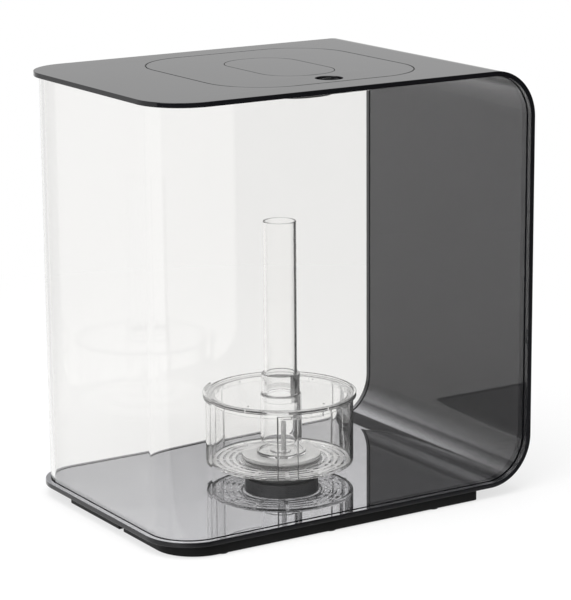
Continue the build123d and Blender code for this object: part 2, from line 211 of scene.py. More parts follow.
def apply_modifiers(obj):
    """Puts the result of the modifiers into the mesh."""
    bpy.context.view_layer.update()
    shaped = bpy.data.meshes.new_from_object(obj.evaluated_get(bpy.context.evaluated_depsgraph_get()))
    old = obj.data
    obj.modifiers.clear()
    obj.data = shaped
    bpy.data.meshes.remove(old)


def turned(name, section):
    """A closed section of radius and height pairs turned about the filter's axis."""
    bm = bmesh.new()
    rings = []
    for k in range(ring_steps):
        a = 2 * math.pi * k / ring_steps
        across = Vector((math.cos(a), math.sin(a), 0))
        middle = Vector((filter_x, filter_y, 0))
        rings.append([bm.verts.new(middle + across * r + Vector((0, 0, z))) for r, z in section])
    for k in range(ring_steps):
        here = rings[k]
        there = rings[(k + 1) % ring_steps]
        for j in range(len(section)):
            i = (j + 1) % len(section)
            bm.faces.new((here[j], there[j], there[i], here[i]))
    return from_bmesh(name, bm)


def prism(name, outline, low, high):
    """An upright solid over a closed outline."""
    bm = bmesh.new()
    bottom = [bm.verts.new((x, y, low)) for x, y in outline]
    top = [bm.verts.new((x, y, high)) for x, y in outline]
    bm.faces.new(bottom)
    bm.faces.new(top)
    for k in range(len(outline)):
        j = (k + 1) % len(outline)
        bm.faces.new((bottom[k], bottom[j], top[j], top[k]))
    return from_bmesh(name, bm)


def joined(objects):
    """One object with the meshes of several that don't touch."""
    bm = bmesh.new()
    for obj in objects:
        bm.from_mesh(obj.data)
        bpy.data.objects.remove(obj)
    return from_bmesh("tool", bm)


def combine(obj, tool, operation):
    """Adds the tool to the object, or takes it away, and deletes the tool."""
    change = obj.modifiers.new("change", "BOOLEAN")
    change.operation = operation
    change.solver = "EXACT"
    change.object = tool
    apply_modifiers(obj)
    bpy.data.objects.remove(tool)


def crisp(obj, degrees=35):
    """Smooth faces with sharp edges where they meet at more than an angle."""
    obj.data.shade_smooth()
    obj.data.set_sharp_from_angle(angle=math.radians(degrees))


def place(obj, node, body):
    """Puts a drawn piece in the place of its node."""
    obj.name = node + "_drawn"
    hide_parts(node)
    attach(obj, body)


# Materials

def start_material(name):
    """An empty material with its output node."""
    mat = bpy.data.materials.new(name)
    mat.use_nodes = True
    mat.node_tree.nodes.clear()
    out = mat.node_tree.nodes.new("ShaderNodeOutputMaterial")
    return mat, mat.node_tree, out


def grey(level):
    """A neutral grey."""
    return (level, level, level)


def parts(tree, vector):
    """The X, Y and Z of a vector."""
    made = tree.nodes.new("ShaderNodeSeparateXYZ")
    tree.links.new(vector, made.inputs["Vector"])
    return made.outputs


def mixed(tree, factor, first, second):
    """A surface or a background between two others."""
    made = tree.nodes.new("ShaderNodeMixShader")
    tree.links.new(factor, made.inputs["Fac"])
    tree.links.new(first, made.inputs[1])
    tree.links.new(second, made.inputs[2])
    return made.outputs["Shader"]


def maths(tree, operation, first, second, clamp=False):
    """A sum on two values, either of which may be a number."""
    made = tree.nodes.new("ShaderNodeMath")
    made.operation = operation
    made.use_clamp = clamp
    for socket, value in zip(made.inputs, (first, second)):
        if isinstance(value, (int, float)):
            socket.default_value = value
        else:
            tree.links.new(value, socket)
    return made.outputs["Value"]


def noise(tree, scale, detail=4.0, stretch=(1, 1, 1)):
    """Noise in the object's own metres."""
    where = tree.nodes.new("ShaderNodeTexCoord")
    mapping = tree.nodes.new("ShaderNodeMapping")
    mapping.inputs["Scale"].default_value = stretch
    made = tree.nodes.new("ShaderNodeTexNoise")
    made.inputs["Scale"].default_value = scale
    made.inputs["Detail"].default_value = detail
    tree.links.new(where.outputs["Object"], mapping.inputs["Vector"])
    tree.links.new(mapping.outputs["Vector"], made.inputs["Vector"])
    return made.outputs["Fac"]


def ranged(tree, value, low, high, start=0.35, end=0.65):
    """A value brought from one range to another."""
    made = tree.nodes.new("ShaderNodeMapRange")
    made.inputs["From Min"].default_value = start
    made.inputs["From Max"].default_value = end
    made.inputs["To Min"].default_value = low
    made.inputs["To Max"].default_value = high
    tree.links.new(value, made.inputs["Value"])
    return made.outputs["Result"]


def blended(tree, factor, first, second):
    """A colour between two colours."""
    made = tree.nodes.new("ShaderNodeMix")
    made.data_type = "RGBA"
    made.inputs["A"].default_value = (*first, 1)
    made.inputs["B"].default_value = (*second, 1)
    tree.links.new(factor, made.inputs["Factor"])
    return made.outputs["Result"]


def bumped(tree, height, distance, strength=1.0):
    """A bump from a height, as deep as the distance."""
    made = tree.nodes.new("ShaderNodeBump")
    made.inputs["Strength"].default_value = strength
    made.inputs["Distance"].default_value = distance
    tree.links.new(height, made.inputs["Height"])
    return made.outputs["Normal"]


def worn_edges(tree, low, high):
    """How far a place is a worn outer edge, from the surface's pointiness."""
    made = tree.nodes.new("ShaderNodeNewGeometry")
    return ranged(tree, made.outputs["Pointiness"], 0.0, 1.0, low, high)


def plain_material(name, dark, light, rough, scale, grain, grain_depth, metallic=0.0, edge=None, ior=1.5):
    """Opaque material with mottled colour and roughness, a fine grain and lighter worn edges."""
    mat, tree, out = start_material(name)
    shader = tree.nodes.new("ShaderNodeBsdfPrincipled")
    shader.inputs["Metallic"].default_value = metallic
    shader.inputs["IOR"].default_value = ior
    colour = blended(tree, ranged(tree, noise(tree, scale), 0.0, 1.0), dark, light)
    if edge:
        mix = tree.nodes.new("ShaderNodeMix")
        mix.data_type = "RGBA"
        mix.inputs["B"].default_value = (*edge, 1)
        tree.links.new(worn_edges(tree, 0.53, 0.62), mix.inputs["Factor"])
        tree.links.new(colour, mix.inputs["A"])
        colour = mix.outputs["Result"]
    tree.links.new(colour, shader.inputs["Base Color"])
    tree.links.new(ranged(tree, noise(tree, scale * 2.3), *rough), shader.inputs["Roughness"])
    tree.links.new(bumped(tree, noise(tree, grain, 2.0), grain_depth), shader.inputs["Normal"])
    tree.links.new(shader.outputs["BSDF"], out.inputs["Surface"])
    return mat


def black_acrylic(name, inner_gloss):
    """Polished black sheet with faint haze and hairlines. The sides inside the tank may mirror more."""
    mat, tree, out = start_material(name)
    shader = tree.nodes.new("ShaderNodeBsdfPrincipled")
    shader.inputs["IOR"].default_value = acrylic_ior
    haze = ranged(tree, noise(tree, 9.0), 0.0, 1.0)
    colour = blended(tree, haze, (0.0035, 0.0035, 0.0045), (0.006, 0.006, 0.0075))
    tree.links.new(colour, shader.inputs["Base Color"])
    tree.links.new(ranged(tree, noise(tree, 14.0), 0.012, 0.035), shader.inputs["Roughness"])
    hairlines = noise(tree, 60.0, 2.0, (1.0, 14.0, 1.0))
    tree.links.new(bumped(tree, hairlines, 0.000002), shader.inputs["Normal"])
    surface = shader.outputs["BSDF"]
    if inner_gloss:
        mirror = tree.nodes.new("ShaderNodeBsdfAnisotropic")
        mirror.inputs["Color"].default_value = (0.92, 0.925, 0.97, 1)
        mirror.inputs["Roughness"].default_value = 0.012
        fresnel = tree.nodes.new("ShaderNodeFresnel")
        fresnel.inputs["IOR"].default_value = acrylic_ior
        amount = maths(tree, "MULTIPLY", fresnel.outputs["Fac"], inside_gloss(tree), clamp=True)
        surface = mixed(tree, amount, surface, mirror.outputs["BSDF"])
    tree.links.new(surface, out.inputs["Surface"])
    return mat


def bond_black():
    """Black bond between the clear sheet and the shell, which mirrors nothing."""
    mat, tree, out = start_material("bond_black")
    shader = tree.nodes.new("ShaderNodeBsdfPrincipled")
    shader.inputs["Specular IOR Level"].default_value = 0.0
    haze = ranged(tree, noise(tree, 25.0), 0.0, 1.0)
    colour = blended(tree, haze, (0.004, 0.004, 0.005), (0.009, 0.009, 0.01))
    tree.links.new(colour, shader.inputs["Base Color"])
    tree.links.new(ranged(tree, noise(tree, 60.0), 0.7, 0.9), shader.inputs["Roughness"])
    tree.links.new(bumped(tree, noise(tree, 900.0, 2.0), 0.00001), shader.inputs["Normal"])
    tree.links.new(shader.outputs["BSDF"], out.inputs["Surface"])
    return mat


def inside_gloss(tree):
    """How much more the floor, its bend and the closed side mirror on their inner faces, and 0 elsewhere."""
    where = tree.nodes.new("ShaderNodeTexCoord")
    at = parts(tree, where.outputs["Object"])
    facing = parts(tree, where.outputs["Normal"])
    low = maths(tree, "LESS_THAN", at["Z"], shell_low.z + sheet_t + bend_r)
    low = maths(tree, "MULTIPLY", low, ranged(tree, facing["Z"], 0.0, 1.0, 0.3, 0.95))
    level = ranged(tree, at["Y"], 2.9, 1.5, shell_low.y, shell_high.y)
    tilted = ranged(tree, at["Y"], 1.1, 6.2, shell_low.y, shell_high.y)
    flatness = ranged(tree, facing["Z"], 0.0, 1.0, 0.97, 0.999)
    more = maths(tree, "MULTIPLY", flatness, maths(tree, "SUBTRACT", level, tilted))
    floor = maths(tree, "MULTIPLY", low, maths(tree, "ADD", tilted, more))
    right = maths(tree, "GREATER_THAN", at["X"], shell_high.x - bend_r)
    inward = maths(tree, "MULTIPLY", right, ranged(tree, facing["X"], 1.0, 0.0, -0.95, -0.3))
    upper = ranged(tree, at["Z"], 0.1, 0.7, 0.04, 0.28)
    gloss = maths(tree, "ADD", floor, maths(tree, "MULTIPLY", inward, upper))
    path = tree.nodes.new("ShaderNodeLightPath")
    return maths(tree, "MULTIPLY", gloss, maths(tree, "LESS_THAN", path.outputs["Glossy Depth"], 0.5))


def clearness(tree, satin, clear_ring):
    """1 where the plastic is clear, less where it faces up. A ring round the middle may stay clear."""
    where = tree.nodes.new("ShaderNodeTexCoord")
    facing = parts(tree, where.outputs["Normal"])
    up = ranged(tree, facing["Z"], 0.0, 1.0, 0.9, 0.98)
    if not clear_ring:
        return maths(tree, "SUBTRACT", 1.0, maths(tree, "MULTIPLY", up, satin))
    flat = tree.nodes.new("ShaderNodeVectorMath")
    flat.operation = "MULTIPLY"
    flat.inputs[1].default_value = (1, 1, 0)
    tree.links.new(where.outputs["Object"], flat.inputs[0])
    away = tree.nodes.new("ShaderNodeVectorMath")
    away.operation = "DISTANCE"
    away.inputs[1].default_value = (filter_x, filter_y, 0)
    tree.links.new(flat.outputs["Vector"], away.inputs[0])
    beyond = ranged(tree, away.outputs["Value"], 0.0, 1.0, cup_r + 6 * mm, cup_r + 9 * mm)
    within = ranged(tree, away.outputs["Value"], 1.0, 0.0, cup_r + 1 * mm, cup_r + 2 * mm)
    amount = maths(tree, "MULTIPLY", maths(tree, "MAXIMUM", beyond, within), satin)
    return maths(tree, "SUBTRACT", 1.0, maths(tree, "MULTIPLY", up, amount))


def clear_plastic(name, tint, rough, ripple, satin, clear_ring=False):
    """Clear plastic that bends light, and that lamps shine through. Its level tops may be a little satin."""
    mat, tree, out = start_material(name)
    shader = tree.nodes.new("ShaderNodeBsdfPrincipled")
    shader.inputs["Transmission Weight"].default_value = 1.0
    shader.inputs["IOR"].default_value = acrylic_ior
    if satin:
        tree.links.new(clearness(tree, satin, clear_ring), shader.inputs["Transmission Weight"])
    pale = tuple(min(1.0, c + 0.004) for c in tint)
    colour = blended(tree, ranged(tree, noise(tree, 18.0), 0.0, 1.0), tint, pale)
    tree.links.new(colour, shader.inputs["Base Color"])
    tree.links.new(ranged(tree, noise(tree, 25.0), *rough), shader.inputs["Roughness"])
    if ripple:
        tree.links.new(bumped(tree, noise(tree, 45.0, 1.0), ripple), shader.inputs["Normal"])
    straight = tree.nodes.new("ShaderNodeBsdfTransparent")
    straight.inputs["Color"].default_value = (0.985, 0.985, 0.985, 1)
    path = tree.nodes.new("ShaderNodeLightPath")
    deep = maths(tree, "GREATER_THAN", path.outputs["Ray Depth"], 8.5)
    unbent = maths(tree, "MAXIMUM", path.outputs["Is Shadow Ray"], deep)
    surface = mixed(tree, unbent, shader.outputs["BSDF"], straight.outputs["BSDF"])
    tree.links.new(surface, out.inputs["Surface"])
    return mat


# Shell and wall

def shell_point(s, y, depth):
    """Where a point of the flat sheet goes once the sheet is bent round."""
    right = shell_high.x - bend_r
    inner = bend_r - depth
    if s <= shell_flat:
        return Vector((shell_low.x + s, y, shell_high.z - depth))
    s -= shell_flat
    if s <= shell_quarter:
        a = math.pi / 2 - s / bend_r
        return Vector((right + inner * math.cos(a), y, shell_high.z - bend_r + inner * math.sin(a)))
    s -= shell_quarter
    if s <= shell_upright:
        return Vector((shell_high.x - depth, y, shell_high.z - bend_r - s))
    s -= shell_upright
    if s <= shell_quarter:
        a = -s / bend_r
        return Vector((right + inner * math.cos(a), y, shell_low.z + bend_r + inner * math.sin(a)))
    return Vector((right - (s - shell_quarter), y, shell_low.z + depth))


def draw_shell(material):
    """The black sheet, drawn flat with its holes and then bent."""
    length = 2 * shell_flat + 2 * shell_quarter + shell_upright
    outline = rounded_box(0, length, shell_low.y, shell_high.y, [corner_r] * 4)
    lid_hole = rounded_box(
        lid_low.x - lid_gap - shell_low.x,
        lid_high.x + lid_gap - shell_low.x,
        lid_low.y - lid_gap,
        lid_high.y + lid_gap,
        [lid_r + lid_gap] * 4,
    )
    stem_hole = arc(length - (filter_x - shell_low.x), filter_y, stem_hole_r, 0, 352.5, 47)
    bm = plate("wrap_shell", [outline, lid_hole, stem_hole], sheet_t, edge_r)
    slice_across(bm, (shell_flat, shell_flat + shell_quarter + shell_upright), shell_quarter)
    for v in bm.verts:
        v.co = shell_point(v.co.x, v.co.y, sheet_t / 2 - v.co.z)
    obj = from_bmesh("wrap_shell_drawn", bm)
    even_normals(obj)
    obj.data.materials.append(material)
    place(obj, "wrap_shell", "tank")


def wall_point(s, z, depth):
    """Where a point of the flat clear sheet goes once its two corners are bent."""
    left = wall_low.x + wall_corner_r
    inner = wall_corner_r - depth
    if s <= wall_front:
        return Vector((wall_high.x + bond - s, wall_low.y + depth, z))
    s -= wall_front
    if s <= wall_quarter:
        a = 1.5 * math.pi - s / wall_corner_r
        return Vector((left + inner * math.cos(a), wall_low.y + wall_corner_r + inner * math.sin(a), z))
    s -= wall_quarter
    if s <= wall_side:
        return Vector((wall_low.x + depth, wall_low.y + wall_corner_r + s, z))
    s -= wall_side
    if s <= wall_quarter:
        a = math.pi - s / wall_corner_r
        return Vector((left + inner * math.cos(a), wall_high.y - wall_corner_r + inner * math.sin(a), z))
    return Vector((left + s - wall_quarter, wall_high.y - depth, z))


def bent_wall(name, insets, thickness):
    """The flat outline of the clear sheet, inset by each amount, bent round its two corners."""
    length = 2 * wall_front + 2 * wall_quarter + wall_side
    low = wall_low.z - bond
    high = wall_high.z + bond
    radius = bend_r - sheet_t
    outlines = [rounded_box(d, length - d, low + d, high - d, [radius - d] * 4) for d in insets]
    bm = plate(name, outlines, thickness, 0.0)
    slice_across(bm, (wall_front, wall_front + wall_quarter + wall_side), wall_quarter)
    for v in bm.verts:
        v.co = wall_point(v.co.x, v.co.y, wall_t / 2 - v.co.z)
    obj = from_bmesh(name, bm)
    crisp(obj)
    even_normals(obj)
    return obj


def draw_wall(material, bond_material):
    """The clear sheet, whose edges go a little into the shell, and the black bond, seen as a dark seam."""
    wall = bent_wall("tank_wall_drawn", [0], wall_t)
    wall.data.materials.append(material)
    place(wall, "tank_wall", "tank")
    seam = bent_wall("wall_bond", [0, bond + bond_h], wall_t - bond)
    seam.data.materials.append(bond_material)
    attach(seam, "tank")


# Lid

def draw_plate(node_name, outlines, low, high, material):
    """A flat acrylic plate of the lid, in the place of a node."""
    bm = plate(node_name, outlines, high - low, edge_r)
    bmesh.ops.translate(bm, verts=bm.verts[:], vec=(0, 0, (low + high) / 2))
    obj = from_bmesh(node_name + "_drawn", bm)
    even_normals(obj)
    obj.data.materials.append(material)
    place(obj, node_name, "lid")


def draw_lid(material):
    """The lid and the cap in its window."""
    outline = rounded_box(lid_low.x, lid_high.x, lid_low.y, lid_high.y, [lid_r] * 4)
    window = rounded_box(
        cap_low.x - cap_gap,
        cap_high.x + cap_gap,
        cap_low.y - cap_gap,
        cap_high.y + cap_gap,
        [cap_r + cap_gap] * 4,
    )
    finger_hole = arc(lid_x, lid_low.y + finger_inset, finger_r, 0, 354, 59)
    draw_plate("lid_panel", [outline, window, finger_hole], lid_low.z, lid_high.z, material)
    cap = rounded_box(cap_low.x, cap_high.x, cap_low.y, cap_high.y, [cap_r] * 4)
    draw_plate("lamp_cap", [cap], cap_low.z, cap_high.z, material)


# Filter

drum_r = (drum_high.y - drum_low.y) / 2
drum_t = 2 * mm
drum_in_r = drum_r - drum_t
cup_r = 27 * mm
air_bore_r = 1.5 * mm
rail_count = 3
rail_angle = -117.0
rail_w = 15.3 * mm
rail_t = 1.5 * mm
rail_foot = 1.5 * mm
rail_gap = 1.5 * mm
rail_edge = 1.2 * mm
spoke_count = 12
spoke_w = 3 * mm
slot_w = 2 * mm
slot_pitch = 4.6 * mm
slot_rows = 4
slot_edge = 4 * mm
plug_r = drum_in_r - 0.3 * mm
plug_t = 1.5 * mm
plug_h = 3.6 * mm
lug_t = 1.2 * mm
lug_h = 1.6 * mm
lug_angle = 7.0
lug_play = 2.0
lug_foot = 0.02 * mm
groove_extra = 0.3 * mm
twist_angle = 25.0
cover_r = (cover_high.x - cover_low.x) / 2
cover_t = 2 * mm
cover_rim = 2 * mm
cover_rim_h = 3.5 * mm
vent_r = 0.8 * mm
vent_circle_r = 43 * mm
vent_turns = (25, 205, 103, 283)
spigot_r = 12.95 * mm
shoulder_r = 10.4 * mm
collar_in_r = 12.1 * mm
collar_out_r = 14 * mm
sleeve_r = 15 * mm
sleeve_t = 2 * mm
tube_r = 12 * mm
tube_t = 1.5 * mm


def around(x, y, degrees):
    """A point beside the filter's axis, turned about it."""
    a = math.radians(degrees)
    return (
        filter_x + x * math.cos(a) - y * math.sin(a),
        filter_y + x * math.sin(a) + y * math.cos(a),
    )


def sector(inner, outer, first, span, steps=12):
    """Outline of a ring's sector about the filter's axis."""
    near = arc(filter_x, filter_y, inner, first, first + span, steps)
    far = arc(filter_x, filter_y, outer, first, first + span, steps)
    return near + far[::-1]


def slot_outline(radius, first, span):
    """Outline of a slot whose ends are parallel to the spokes beside it."""
    inner = radius - slot_w / 2
    outer = radius + slot_w / 2
    near_cut = math.degrees(math.asin(spoke_w / 2 / inner))
    far_cut = math.degrees(math.asin(spoke_w / 2 / outer))
    near = arc(filter_x, filter_y, inner, first + near_cut, first + span - near_cut, 10)
    far = arc(filter_x, filter_y, outer, first + far_cut, first + span - far_cut, 10)
    return near + far[::-1]


def rail_turns():
    """How far each rail, and the bayonet groove and lug beside it, is turned about the axis, in degrees."""
    return [rail_angle + 360 * k / rail_count for k in range(rail_count)]


def paint_shade_on_rail_sides(drum):
    """Gives the sides of the rails the second material, whose dark tint is painted shade along the rails'
    sides.
    """
    rails = [Vector((math.cos(a), math.sin(a), 0)) for a in map(math.radians, rail_turns())]
    for face in drum.data.polygons:
        out = face.center - Vector((filter_x, filter_y, face.center.z))
        rail = max(rails, key=out.dot)
        if out.length > drum_r + 0.1 * mm and abs(face.normal.dot(rail)) < 0.97:
            face.material_index = 1


def drum_section():
    """Half of the drum's section, with its wall, its floor and its raised middle."""
    floor = drum_low.z
    top = drum_high.z
    cup = port_high.z
    points = [
        (air_bore_r, cup + seat_gap),
        (cup_r, cup + seat_gap),
        (cup_r, floor),
        (drum_r, floor),
        (drum_r, top),
        (drum_in_r, top),
        (drum_in_r, floor + drum_t),
        (cup_r + drum_t, floor + drum_t),
        (cup_r + drum_t, cup + drum_t),
        (air_bore_r, cup + drum_t),
    ]
    radii = [0, 0.6, 0.6, 1.5, 0.6, 0.5, 0.9, 1.0, 0.8, 0]
    return softened(points, [r * mm for r in radii])


def rail_solids():
    """The three rails on the outside of the drum."""
    half = rail_w / 2
    flat = rounded_box(drum_r - drum_t / 2, drum_r + rail_t, -half, half, [0, rail_edge, rail_edge, 0])
    rails = []
    for turn in rail_turns():
        outline = [around(x, y, turn) for x, y in flat]
        rails.append(prism("rail", outline, drum_low.z + rail_foot, drum_high.z - rail_gap))
    return joined(rails)


def slot_solids():
    """The rows of slots between the spokes of the drum's floor."""
    span = 360 / spoke_count
    slots = []
    for row in range(slot_rows):
        radius = drum_in_r - slot_edge - row * slot_pitch
        for k in range(spoke_count):
            outline = slot_outline(radius, rail_angle + k * span, span)
            slots.append(prism("slot", outline, drum_low.z - drum_t, drum_low.z + 2 * drum_t))
    return joined(slots)


def bayonet_solids():
    """The grooves in which the cover's lugs turn, and the entries that lead down to them."""
    low = drum_high.z - plug_h - groove_extra
    height = lug_h + 2 * groove_extra
    inner = drum_in_r - drum_t / 2
    outer = drum_in_r + lug_t
    entry = lug_angle + 2 * lug_play
    grooves = []
    entries = []
    for turn in rail_turns():
        first = turn - lug_angle / 2 - lug_play
        groove = sector(inner, outer, first, entry + twist_angle)
        grooves.append(prism("groove", groove, low, low + height))
        way_in = sector(inner, outer, first + twist_angle, entry)
        entries.append(prism("entry", way_in, low + height / 2, drum_high.z + drum_t))
    return joined(grooves), joined(entries)


def draw_drum(material, painted_shade_material):
    """The clear drum with its raised middle, three rails, rows of slots and bayonet grooves. The rails'
    sides get a dark tint of painted shade.
    """
    drum = turned("filter_drum_drawn", drum_section())
    combine(drum, rail_solids(), "UNION")
    combine(drum, slot_solids(), "DIFFERENCE")
    for solid in bayonet_solids():
        combine(drum, solid, "DIFFERENCE")
    crisp(drum)
    even_normals(drum)
    drum.data.materials.append(material)
    drum.data.materials.append(painted_shade_material)
    # The sides of the rails take the dark tint: painted shade
    paint_shade_on_rail_sides(drum)
    place(drum, "filter_drum", "drum")


def cover_section():
    """Half of the cover's section, with its rim, its plug ring, its collar and the spigot below."""
    under = drum_high.z + seat_gap
    top = drum_high.z + cover_t
    rim_top = drum_high.z + cover_rim_h
    points = [
        (shoulder_r, cover_low.z),
        (spigot_r, cover_low.z),
        (spigot_r, under),
        (plug_r - plug_t, under),
        (plug_r - plug_t, drum_high.z - plug_h),
        (plug_r, drum_high.z - plug_h),
        (plug_r, under),
        (cover_r, under),
        (cover_r, rim_top),
        (cover_r - cover_rim, rim_top),
        (cover_r - cover_rim, top),
        (collar_out_r, top),
        (collar_out_r, cover_high.z),
        (collar_in_r, cover_high.z),
        (collar_in_r, top),
        (shoulder_r, top),
    ]
    radii = [0.2, 0.3, 0.2, 0.3, 0.25, 0.25, 0.3, 0.4, 0.4, 0.4, 0.4, 0.6, 0.3, 0.3, 0, 0.2]
    return softened(points, [r * mm for r in radii])


def lug_solids():
    """The three lugs on the cover's plug ring."""
    low = drum_high.z - plug_h
    lugs = []
    for turn in rail_turns():
        outline = sector(plug_r - plug_t / 2, plug_r + lug_t, turn - lug_angle / 2, lug_angle, 6)
        lugs.append(prism("lug", outline, low + lug_foot, low + lug_h))
    return joined(lugs)


def vent_solids():
    """The small vents through the cover."""
    low = drum_high.z + seat_gap - cover_t
    high = drum_high.z + 2 * cover_t
    vents = []
    for turn in vent_turns:
        x, y = around(vent_circle_r, 0, turn)
        vents.append(prism("vent", arc(x, y, vent_r, 0, 345, 23), low, high))
    return joined(vents)


def draw_cover(material):
    """The clear cover with its rolled rim, plug ring, collar, three lugs and vents."""
    cover = turned("filter_cover_drawn", cover_section())
    combine(cover, lug_solids(), "UNION")
    combine(cover, vent_solids(), "DIFFERENCE")
    crisp(cover)
    even_normals(cover)
    cover.data.materials.append(material)
    place(cover, "filter_cover", "cover")


def ring_section(inner, outer, low, high, radius):
    """Section of a plain ring with rounded edges."""
    corners = [(inner, low), (outer, low), (outer, high), (inner, high)]
    return softened(corners, [radius] * 4)


def draw_turned(node_name, section, material, body):
    """A turned piece in the place of a node."""
    obj = turned(node_name + "_drawn", section)
    crisp(obj)
    even_normals(obj)
    obj.data.materials.append(material)
    place(obj, node_name, body)


def draw_tubes(material):
    """The sleeve below the cover and the bubble tube in its collar."""
    sleeve = ring_section(sleeve_r - sleeve_t, sleeve_r, sleeve_low.z, sleeve_high.z, 0.5 * mm)
    draw_turned("riser_sleeve", sleeve, material, "cover")
    tube = ring_section(tube_r - tube_t, tube_r, tube_low.z + seat_gap, tube_high.z, 0.4 * mm)
    draw_turned("bubble_tube", tube, material, "tube")


def draw_seat(material):
    """The clear seat of the air stone, with a raised rim and a boss."""
    seat_r = 18 * mm
    rim = 2 * mm
    boss_r = 8 * mm
    socket_r = 2.95 * mm
    low = seat_low.z + seat_gap
    high = seat_high.z
    floor = high - 1 * mm
    points = [
        (air_bore_r, low),
        (seat_r, low),
        (seat_r, high),
        (seat_r - rim, high),
        (seat_r - rim, floor),
        (boss_r, floor),
        (boss_r, high),
        (socket_r, high),
        (socket_r, stone_low.z - seat_gap),
        (air_bore_r, stone_low.z - seat_gap),
    ]
    radii = [0, 0.4, 0.7, 0.7, 0.4, 0.4, 0.4, 0.2, 0, 0]
    section = softened(points, [r * mm for r in radii])
    draw_turned("stone_seat", section, material, "drum")


def draw_stone(material):
    """The slim porous stone, round at its top."""
    inner = 0.2 * mm
    outer = 2.8 * mm
    points = [(inner, stone_low.z), (outer, stone_low.z), (outer, stone_high.z), (inner, stone_high.z)]
    section = softened(points, [0, 0.2 * mm, 0.8 * mm, 0])
    draw_turned("air_stone", section, material, "drum")


def draw_port(material):
    """The dark port that carries the drum, with its stem and valve pocket."""
    hub_r = 26.6 * mm
    stem_r = 6.9 * mm
    pocket_r = 5 * mm
    pocket_z = port_high.z - 7 * mm
    hub_z = port_high.z - 13.5 * mm
    points = [
        (air_bore_r, port_low.z),
        (stem_r, port_low.z),
        (stem_r, hub_z),
        (hub_r, hub_z),
        (hub_r, port_high.z),
        (pocket_r, port_high.z),
        (pocket_r, pocket_z),
        (air_bore_r, pocket_z),
    ]
    radii = [0, 0.3 * mm, 0, 0.4 * mm, 1 * mm, 0.3 * mm, 0, 0]
    draw_turned("air_port", softened(points, radii), material, "tank")


def draw_base(material):
    """The base frame, with its large front left corner and the notch for the air line."""
    corner = 30 * mm
    end = 2 * mm
    rail = 10 * mm
    outline = rounded_box(base_low.x, base_high.x, base_low.y, base_high.y, [corner, end, end, end])
    hole = rounded_box(
        base_low.x + rail,
        base_high.x - rail,
        base_low.y + rail,
        base_high.y - rail,
        [corner - rail, 0, 0, 0],
    )
    bm = plate("base_frame", [outline, hole], base_high.z - base_low.z, 0.6 * mm)
    bmesh.ops.translate(bm, verts=bm.verts[:], vec=(0, 0, (base_high.z + base_low.z) / 2))
    obj = from_bmesh("base_frame_drawn", bm)
    notch_y = -23 * mm
    notch_w = 7 * mm
    notch_h = 6.2 * mm
    notch = [
        (base_low.x - rail, notch_y - notch_w / 2),
        (base_low.x + 2 * rail, notch_y - notch_w / 2),
        (base_low.x + 2 * rail, notch_y + notch_w / 2),
        (base_low.x - rail, notch_y + notch_w / 2),
    ]
    combine(obj, prism("notch", notch, base_low.z - rail, base_low.z + notch_h), "DIFFERENCE")
    crisp(obj)
    even_normals(obj)
    obj.data.materials.append(material)
    place(obj, "base_frame", "tank")


# Finishes of the pieces that stay as packed

def dress(names, material):
    """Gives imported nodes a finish."""
    for name in names:
        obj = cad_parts[name]
        obj.data.materials.clear()
        obj.data.materials.append(material)


def frosted_plastic():
    """Milky plastic of the lamp's diffuser."""
    mat, tree, out = start_material("frosted")
    shader = tree.nodes.new("ShaderNodeBsdfPrincipled")
    shader.inputs["Transmission Weight"].default_value = 0.6
    shader.inputs["IOR"].default_value = acrylic_ior
    colour = blended(tree, ranged(tree, noise(tree, 30.0), 0.0, 1.0), (0.84, 0.86, 0.88), (0.9, 0.91, 0.92))
    tree.links.new(colour, shader.inputs["Base Color"])
    tree.links.new(ranged(tree, noise(tree, 300.0), 0.45, 0.6), shader.inputs["Roughness"])
    tree.links.new(bumped(tree, noise(tree, 1500.0, 2.0), 0.00002), shader.inputs["Normal"])
    tree.links.new(shader.outputs["BSDF"], out.inputs["Surface"])
    return mat


def dress_packed(clear_sheet, port):
    """Finishes for every node that isn't drawn anew."""
    rubber = plain_material(
        "rubber", grey(0.012), grey(0.022), (0.6, 0.8), 40.0, 1800.0, 0.00003, edge=grey(0.05)
    )
    lamp = plain_material(
        "lamp_black", grey(0.018), grey(0.026), (0.42, 0.55), 30.0, 2600.0, 0.00002, edge=grey(0.06)
    )
    steel = plain_material(
        "screw_steel", grey(0.5), grey(0.62), (0.22, 0.36), 60.0, 900.0, 0.000006, metallic=1.0
    )
    alu = plain_material(
        "heat_plate", grey(0.7), grey(0.82), (0.28, 0.42), 30.0, 700.0, 0.000008, metallic=1.0
    )
    board = plain_material("light_board", grey(0.78), grey(0.86), (0.3, 0.4), 30.0, 900.0, 0.000006)
    yellow = (0.85, 0.68, 0.16)
    chip = plain_material("light_chip", yellow, (0.92, 0.8, 0.3), (0.3, 0.45), 200.0, 2500.0, 0.000006)
    dress(["lid_frame"], clear_sheet)
    dress(["foot_pads", "port_gasket", "check_valve"], rubber)
    dress(["port_washer", "port_nut", "air_elbow"], port)
    dress(["lamp_housing", "power_socket"], lamp)
    dress(["lamp_screws"], steel)
    dress(["heat_plate"], alu)
    dress(["light_board"], board)
    dress(["light_chips"], chip)
    dress(["lamp_diffuser"], frosted_plastic())


# Stage, camera and light

